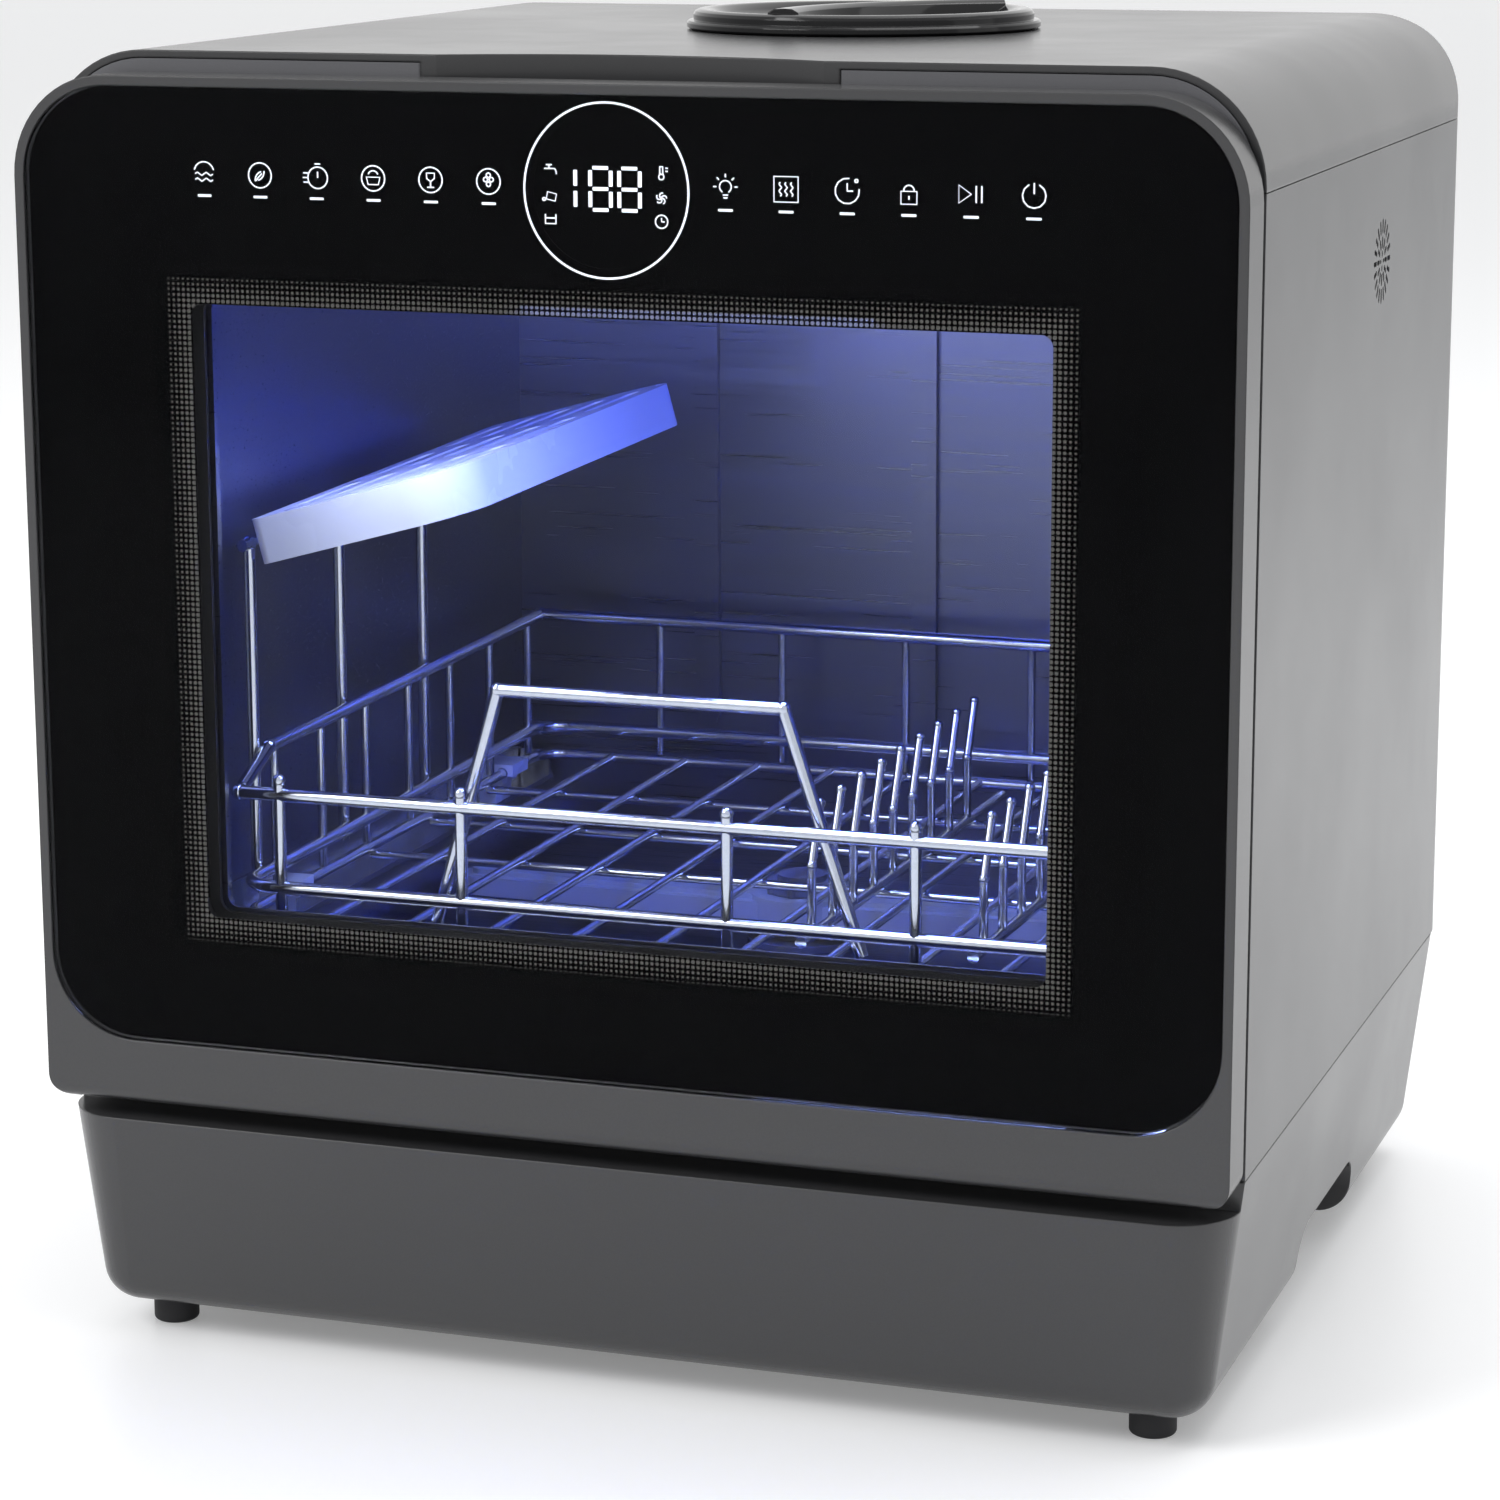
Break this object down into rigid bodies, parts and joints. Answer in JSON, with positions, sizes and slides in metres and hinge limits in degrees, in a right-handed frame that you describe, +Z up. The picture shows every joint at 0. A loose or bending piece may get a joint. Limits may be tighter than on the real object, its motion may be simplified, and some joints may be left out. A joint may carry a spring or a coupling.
{
  "type": "countertop dishwasher",
  "caption": "Compact countertop dishwasher with a drop-down glass door, touch-key panel, round top filler lid, sliding wire rack and fold-up cup shelf.",
  "frame": {"origin": "on the table under the middle of the whole footprint, from the door glass to the tips of the hose spouts", "axes": "+X to the right seen from the front, -Y towards the user, +Z up"},
  "size_m": [0.42, 0.3962, 0.4583],
  "materials": {
    "body_plastic": "dark graphite",
    "dark_plastic": "matt dark grey",
    "black_rubber": "matt",
    "steel": "brushed",
    "bright_steel": "plain",
    "grey_plastic": "matt grey",
    "tank_plastic": "natural",
    "arm_plastic": "matt light grey",
    "white_plastic": "white",
    "lid_plastic": "black",
    "black_glass": "clear float glass, dark",
    "clear_glass": "clear",
    "print_black": "black enamel",
    "mark_white": "lit white",
    "board_green": "solder mask",
    "rack_steel": "bright wire",
    "lamp": "blue lens",
    "grey_steel": "motor case"
  },
  "bodies": {
    "casing": {"base_shell": "body_plastic", "base_pan": "dark_plastic", "feet": "black_rubber", "side_panel_left": "body_plastic", "side_panel_right": "body_plastic", "top_cover": "body_plastic", "back_panel": "dark_plastic", "case_screws": "bright_steel", "front_frame": "grey_plastic", "door_gasket": "black_rubber", "door_catch": "dark_plastic", "tub": "steel", "tub_rear": "steel", "rack_rails": "bright_steel", "sump": "grey_plastic", "filter_plate": "steel", "spray_post": "grey_plastic", "spray_nut": "grey_plastic", "wash_pump": "grey_steel", "drain_pump": "grey_plastic", "flow_heater": "bright_steel", "water_tank": "tank_plastic", "fill_funnel": "tank_plastic", "lid_seat": "dark_plastic", "drying_fan": "dark_plastic", "fan_duct": "grey_plastic", "power_board": "board_green", "lamp_housing": "dark_plastic", "lamp_lens": "lamp", "inlet_connector": "white_plastic", "drain_spigot": "dark_plastic", "cord_gland": "black_rubber", "inner_hoses": "black_rubber", "hinge_brackets": "bright_steel", "hinge_pins": "bright_steel"},
    "door": {"hinge_leaves": "bright_steel", "door_frame": "body_plastic", "door_glass": "black_glass", "key_symbols": "mark_white", "glass_print": "print_black", "digit_segments": "mark_white", "display_body": "print_black", "control_board": "board_green", "door_liner": "steel", "liner_screws": "bright_steel", "inner_glass": "clear_glass", "window_seal": "black_rubber", "catch_tongue": "bright_steel"},
    "rack": {"rack_floor": "rack_steel", "rack_walls": "rack_steel", "rack_corners": "rack_steel", "tine_rows": "rack_steel", "cup_arch": "rack_steel", "shelf_posts": "rack_steel", "rack_glides": "white_plastic"},
    "shelf": {"cup_shelf": "white_plastic"},
    "arm": {"spray_arm": "arm_plastic"},
    "filter": {"filter_cup": "arm_plastic"},
    "lid": {"fill_lid": "lid_plastic", "lid_seal": "black_rubber"}
  },
  "joints": [
    {"name": "door_hinge", "type": "hinge", "parent": "casing", "child": "door", "pos_m": [0, -0.1879, 0.1], "axis": [1, 0, 0], "range_deg": [0, 90]},
    {"name": "rack_slide", "type": "slide", "parent": "casing", "child": "rack", "axis": [0, -1, 0], "range_m": [0, 0.0868]},
    {"name": "shelf_fold", "type": "hinge", "parent": "rack", "child": "shelf", "pos_m": [-0.1568, -0.0269, 0.276], "axis": [0, -1, 0], "range_deg": [0, 55]},
    {"name": "spray_turn", "type": "hinge", "parent": "casing", "child": "arm", "pos_m": [0, 0.0021, 0.13], "axis": [0, 0, 1], "continuous": true},
    {"name": "filter_twist", "type": "hinge", "parent": "casing", "child": "filter", "pos_m": [0.086, -0.0959, 0.114], "axis": [0, 0, 1], "range_deg": [0, 40]},
    {"name": "lid_lift", "type": "slide", "parent": "casing", "child": "lid", "axis": [0, 0, 1], "range_m": [0, 0.06]}
  ],
  "couplings": [
    {"joint": "rack_slide", "follows": "door_hinge", "m_per_rad": 0.055}
  ]
}
